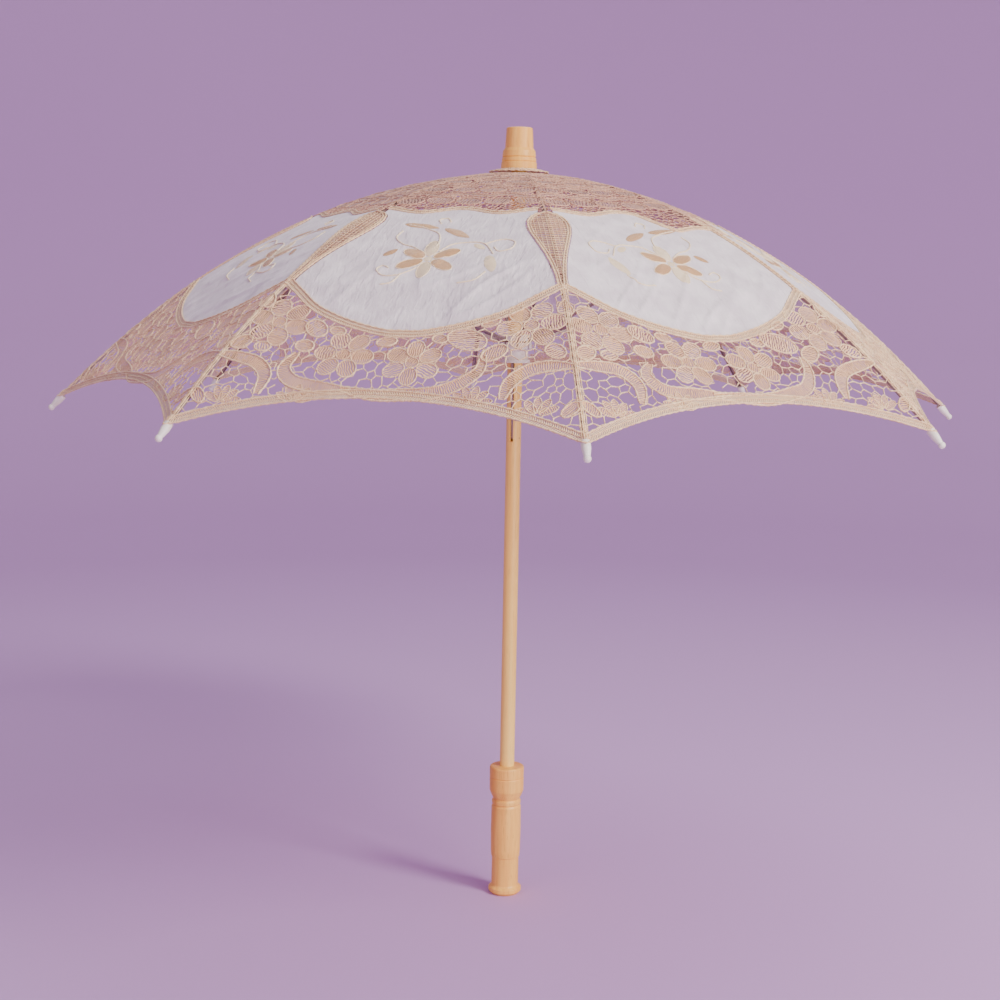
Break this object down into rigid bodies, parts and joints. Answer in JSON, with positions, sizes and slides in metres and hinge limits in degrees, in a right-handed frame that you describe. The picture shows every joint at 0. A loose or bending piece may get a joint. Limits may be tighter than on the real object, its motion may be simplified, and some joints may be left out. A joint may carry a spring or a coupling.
{
  "type": "lace parasol",
  "caption": "Small hand parasol with a domed scalloped lace canopy on a folding ribbed frame, a straight wooden shaft with a spring catch and a turned wooden grip.",
  "frame": {"origin": "on the shaft's axis at the centre of the turned grip", "axes": "+Z along the shaft from the grip to the top cap; rib 1 points to -Y"},
  "size_m": [0.8016, 0.8016, 0.6853],
  "materials": {
    "shaft_wood": "pale satin varnish",
    "turned_wood": "golden satin varnish",
    "lace": "ecru lace with ivory panels",
    "hub_plastic": "off-white",
    "ring_wire": "drawn",
    "steel": "bright",
    "tip_plastic": "off-white"
  },
  "bodies": {
    "stick": {"shaft": "shaft_wood", "handle": "turned_wood", "top_cap": "turned_wood", "crown_rosette": "lace", "crown": "hub_plastic", "crown_ring": "ring_wire", "stop_pin": "steel", "catch_pin": "steel"},
    "catch": {"spring_catch": "steel"},
    "runner": {"runner": "hub_plastic", "runner_ring": "ring_wire"},
    "rib_1": {"rib_1": "steel", "rib_tip_1": "tip_plastic", "joint_rivet_1": "steel"},
    "stretcher_1": {"stretcher_1": "steel"},
    "gore_right_1": {"canopy_right_1": "lace"},
    "gore_left_1": {"canopy_left_1": "lace"},
    "rib_2": {"rib_2": "steel", "rib_tip_2": "tip_plastic", "joint_rivet_2": "steel"},
    "stretcher_2": {"stretcher_2": "steel"},
    "gore_right_2": {"canopy_right_2": "lace"},
    "gore_left_2": {"canopy_left_2": "lace"},
    "rib_3": {"rib_3": "steel", "rib_tip_3": "tip_plastic", "joint_rivet_3": "steel"},
    "stretcher_3": {"stretcher_3": "steel"},
    "gore_right_3": {"canopy_right_3": "lace"},
    "gore_left_3": {"canopy_left_3": "lace"},
    "rib_4": {"rib_4": "steel", "rib_tip_4": "tip_plastic", "joint_rivet_4": "steel"},
    "stretcher_4": {"stretcher_4": "steel"},
    "gore_right_4": {"canopy_right_4": "lace"},
    "gore_left_4": {"canopy_left_4": "lace"},
    "rib_5": {"rib_5": "steel", "rib_tip_5": "tip_plastic", "joint_rivet_5": "steel"},
    "stretcher_5": {"stretcher_5": "steel"},
    "gore_right_5": {"canopy_right_5": "lace"},
    "gore_left_5": {"canopy_left_5": "lace"},
    "rib_6": {"rib_6": "steel", "rib_tip_6": "tip_plastic", "joint_rivet_6": "steel"},
    "stretcher_6": {"stretcher_6": "steel"},
    "gore_right_6": {"canopy_right_6": "lace"},
    "gore_left_6": {"canopy_left_6": "lace"},
    "rib_7": {"rib_7": "steel", "rib_tip_7": "tip_plastic", "joint_rivet_7": "steel"},
    "stretcher_7": {"stretcher_7": "steel"},
    "gore_right_7": {"canopy_right_7": "lace"},
    "gore_left_7": {"canopy_left_7": "lace"},
    "rib_8": {"rib_8": "steel", "rib_tip_8": "tip_plastic", "joint_rivet_8": "steel"},
    "stretcher_8": {"stretcher_8": "steel"},
    "gore_right_8": {"canopy_right_8": "lace"},
    "gore_left_8": {"canopy_left_8": "lace"}
  },
  "joints": [
    {"name": "rib_1_fold", "type": "hinge", "parent": "stick", "child": "rib_1", "pos_m": [0, -0.011, 0.594], "axis": [1, 0, 0], "range_deg": [0, 61]},
    {"name": "stretcher_1_joint", "type": "hinge", "parent": "rib_1", "child": "stretcher_1", "pos_m": [0, -0.231, 0.52435], "axis": [1, 0, 0], "range_deg": [-122, 0]},
    {"name": "gore_right_1_fold", "type": "hinge", "parent": "rib_1", "child": "gore_right_1", "pos_m": [0.00011, -0.01297, 0.59516], "axis": [-0.8091, 0.5063, -0.2983], "range_deg": [0, 26.98], "deforming": ["canopy_right_1"]},
    {"name": "gore_left_1_fold", "type": "hinge", "parent": "rib_1", "child": "gore_left_1", "pos_m": [-0.00011, -0.01297, 0.59516], "axis": [-0.8091, -0.5063, 0.2983], "range_deg": [0, 26.98], "deforming": ["canopy_left_1"]},
    {"name": "rib_2_fold", "type": "hinge", "parent": "stick", "child": "rib_2", "pos_m": [0.00778, -0.00778, 0.594], "axis": [0.7071, 0.7071, 0], "range_deg": [0, 61]},
    {"name": "stretcher_2_joint", "type": "hinge", "parent": "rib_2", "child": "stretcher_2", "pos_m": [0.16334, -0.16334, 0.52435], "axis": [0.7071, 0.7071, 0], "range_deg": [-122, 0]},
    {"name": "gore_right_2_fold", "type": "hinge", "parent": "rib_2", "child": "gore_right_2", "pos_m": [0.00924, -0.0091, 0.59516], "axis": [-0.9302, -0.2141, -0.2983], "range_deg": [0, 26.98], "deforming": ["canopy_right_2"]},
    {"name": "gore_left_2_fold", "type": "hinge", "parent": "rib_2", "child": "gore_left_2", "pos_m": [0.0091, -0.00924, 0.59516], "axis": [-0.2141, -0.9302, 0.2983], "range_deg": [0, 26.98], "deforming": ["canopy_left_2"]},
    {"name": "rib_3_fold", "type": "hinge", "parent": "stick", "child": "rib_3", "pos_m": [0.011, 0, 0.594], "axis": [0, 1, 0], "range_deg": [0, 61]},
    {"name": "stretcher_3_joint", "type": "hinge", "parent": "rib_3", "child": "stretcher_3", "pos_m": [0.231, 0, 0.52435], "axis": [0, 1, 0], "range_deg": [-122, 0]},
    {"name": "gore_right_3_fold", "type": "hinge", "parent": "rib_3", "child": "gore_right_3", "pos_m": [0.01297, 0.00011, 0.59516], "axis": [-0.5063, -0.8091, -0.2983], "range_deg": [0, 26.98], "deforming": ["canopy_right_3"]},
    {"name": "gore_left_3_fold", "type": "hinge", "parent": "rib_3", "child": "gore_left_3", "pos_m": [0.01297, -0.00011, 0.59516], "axis": [0.5063, -0.8091, 0.2983], "range_deg": [0, 26.98], "deforming": ["canopy_left_3"]},
    {"name": "rib_4_fold", "type": "hinge", "parent": "stick", "child": "rib_4", "pos_m": [0.00778, 0.00778, 0.594], "axis": [-0.7071, 0.7071, 0], "range_deg": [0, 61]},
    {"name": "stretcher_4_joint", "type": "hinge", "parent": "rib_4", "child": "stretcher_4", "pos_m": [0.16334, 0.16334, 0.52435], "axis": [-0.7071, 0.7071, 0], "range_deg": [-122, 0]},
    {"name": "gore_right_4_fold", "type": "hinge", "parent": "rib_4", "child": "gore_right_4", "pos_m": [0.0091, 0.00924, 0.59516], "axis": [0.2141, -0.9302, -0.2983], "range_deg": [0, 26.98], "deforming": ["canopy_right_4"]},
    {"name": "gore_left_4_fold", "type": "hinge", "parent": "rib_4", "child": "gore_left_4", "pos_m": [0.00924, 0.0091, 0.59516], "axis": [0.9302, -0.2141, 0.2983], "range_deg": [0, 26.98], "deforming": ["canopy_left_4"]},
    {"name": "rib_5_fold", "type": "hinge", "parent": "stick", "child": "rib_5", "pos_m": [0, 0.011, 0.594], "axis": [-1, 0, 0], "range_deg": [0, 61]},
    {"name": "stretcher_5_joint", "type": "hinge", "parent": "rib_5", "child": "stretcher_5", "pos_m": [0, 0.231, 0.52435], "axis": [-1, 0, 0], "range_deg": [-122, 0]},
    {"name": "gore_right_5_fold", "type": "hinge", "parent": "rib_5", "child": "gore_right_5", "pos_m": [-0.00011, 0.01297, 0.59516], "axis": [0.8091, -0.5063, -0.2983], "range_deg": [0, 26.98], "deforming": ["canopy_right_5"]},
    {"name": "gore_left_5_fold", "type": "hinge", "parent": "rib_5", "child": "gore_left_5", "pos_m": [0.00011, 0.01297, 0.59516], "axis": [0.8091, 0.5063, 0.2983], "range_deg": [0, 26.98], "deforming": ["canopy_left_5"]},
    {"name": "rib_6_fold", "type": "hinge", "parent": "stick", "child": "rib_6", "pos_m": [-0.00778, 0.00778, 0.594], "axis": [-0.7071, -0.7071, 0], "range_deg": [0, 61]},
    {"name": "stretcher_6_joint", "type": "hinge", "parent": "rib_6", "child": "stretcher_6", "pos_m": [-0.16334, 0.16334, 0.52435], "axis": [-0.7071, -0.7071, 0], "range_deg": [-122, 0]},
    {"name": "gore_right_6_fold", "type": "hinge", "parent": "rib_6", "child": "gore_right_6", "pos_m": [-0.00924, 0.0091, 0.59516], "axis": [0.9302, 0.2141, -0.2983], "range_deg": [0, 26.98], "deforming": ["canopy_right_6"]},
    {"name": "gore_left_6_fold", "type": "hinge", "parent": "rib_6", "child": "gore_left_6", "pos_m": [-0.0091, 0.00924, 0.59516], "axis": [0.2141, 0.9302, 0.2983], "range_deg": [0, 26.98], "deforming": ["canopy_left_6"]},
    {"name": "rib_7_fold", "type": "hinge", "parent": "stick", "child": "rib_7", "pos_m": [-0.011, 0, 0.594], "axis": [0, -1, 0], "range_deg": [0, 61]},
    {"name": "stretcher_7_joint", "type": "hinge", "parent": "rib_7", "child": "stretcher_7", "pos_m": [-0.231, 0, 0.52435], "axis": [0, -1, 0], "range_deg": [-122, 0]},
    {"name": "gore_right_7_fold", "type": "hinge", "parent": "rib_7", "child": "gore_right_7", "pos_m": [-0.01297, -0.00011, 0.59516], "axis": [0.5063, 0.8091, -0.2983], "range_deg": [0, 26.98], "deforming": ["canopy_right_7"]},
    {"name": "gore_left_7_fold", "type": "hinge", "parent": "rib_7", "child": "gore_left_7", "pos_m": [-0.01297, 0.00011, 0.59516], "axis": [-0.5063, 0.8091, 0.2983], "range_deg": [0, 26.98], "deforming": ["canopy_left_7"]},
    {"name": "rib_8_fold", "type": "hinge", "parent": "stick", "child": "rib_8", "pos_m": [-0.00778, -0.00778, 0.594], "axis": [0.7071, -0.7071, 0], "range_deg": [0, 61]},
    {"name": "stretcher_8_joint", "type": "hinge", "parent": "rib_8", "child": "stretcher_8", "pos_m": [-0.16334, -0.16334, 0.52435], "axis": [0.7071, -0.7071, 0], "range_deg": [-122, 0]},
    {"name": "gore_right_8_fold", "type": "hinge", "parent": "rib_8", "child": "gore_right_8", "pos_m": [-0.0091, -0.00924, 0.59516], "axis": [-0.2141, 0.9302, -0.2983], "range_deg": [0, 26.98], "deforming": ["canopy_right_8"]},
    {"name": "gore_left_8_fold", "type": "hinge", "parent": "rib_8", "child": "gore_left_8", "pos_m": [-0.00924, -0.0091, 0.59516], "axis": [-0.9302, 0.2141, 0.2983], "range_deg": [0, 26.98], "deforming": ["canopy_left_8"]},
    {"name": "runner_pivot", "type": "hinge", "parent": "stretcher_1", "child": "runner", "pos_m": [0, -0.011, 0.4547], "axis": [1, 0, 0], "range_deg": [0, 61]},
    {"name": "catch_press", "type": "hinge", "parent": "stick", "child": "catch", "pos_m": [-0.00096, -0.00231, 0.37], "axis": [-0.9239, 0.3827, 0], "range_deg": [0, 2.4], "stiffness_Nm_per_rad": 0.4}
  ],
  "couplings": [
    {"joint": "stretcher_1_joint", "follows": "rib_1_fold", "ratio": -2},
    {"joint": "gore_right_1_fold", "follows": "rib_1_fold", "ratio": 0.44226},
    {"joint": "gore_left_1_fold", "follows": "rib_1_fold", "ratio": 0.44226},
    {"joint": "rib_2_fold", "follows": "rib_1_fold", "ratio": 1},
    {"joint": "stretcher_2_joint", "follows": "rib_1_fold", "ratio": -2},
    {"joint": "gore_right_2_fold", "follows": "rib_1_fold", "ratio": 0.44226},
    {"joint": "gore_left_2_fold", "follows": "rib_1_fold", "ratio": 0.44226},
    {"joint": "rib_3_fold", "follows": "rib_1_fold", "ratio": 1},
    {"joint": "stretcher_3_joint", "follows": "rib_1_fold", "ratio": -2},
    {"joint": "gore_right_3_fold", "follows": "rib_1_fold", "ratio": 0.44226},
    {"joint": "gore_left_3_fold", "follows": "rib_1_fold", "ratio": 0.44226},
    {"joint": "rib_4_fold", "follows": "rib_1_fold", "ratio": 1},
    {"joint": "stretcher_4_joint", "follows": "rib_1_fold", "ratio": -2},
    {"joint": "gore_right_4_fold", "follows": "rib_1_fold", "ratio": 0.44226},
    {"joint": "gore_left_4_fold", "follows": "rib_1_fold", "ratio": 0.44226},
    {"joint": "rib_5_fold", "follows": "rib_1_fold", "ratio": 1},
    {"joint": "stretcher_5_joint", "follows": "rib_1_fold", "ratio": -2},
    {"joint": "gore_right_5_fold", "follows": "rib_1_fold", "ratio": 0.44226},
    {"joint": "gore_left_5_fold", "follows": "rib_1_fold", "ratio": 0.44226},
    {"joint": "rib_6_fold", "follows": "rib_1_fold", "ratio": 1},
    {"joint": "stretcher_6_joint", "follows": "rib_1_fold", "ratio": -2},
    {"joint": "gore_right_6_fold", "follows": "rib_1_fold", "ratio": 0.44226},
    {"joint": "gore_left_6_fold", "follows": "rib_1_fold", "ratio": 0.44226},
    {"joint": "rib_7_fold", "follows": "rib_1_fold", "ratio": 1},
    {"joint": "stretcher_7_joint", "follows": "rib_1_fold", "ratio": -2},
    {"joint": "gore_right_7_fold", "follows": "rib_1_fold", "ratio": 0.44226},
    {"joint": "gore_left_7_fold", "follows": "rib_1_fold", "ratio": 0.44226},
    {"joint": "rib_8_fold", "follows": "rib_1_fold", "ratio": 1},
    {"joint": "stretcher_8_joint", "follows": "rib_1_fold", "ratio": -2},
    {"joint": "gore_right_8_fold", "follows": "rib_1_fold", "ratio": 0.44226},
    {"joint": "gore_left_8_fold", "follows": "rib_1_fold", "ratio": 0.44226},
    {"joint": "runner_pivot", "follows": "rib_1_fold", "ratio": 1}
  ]
}
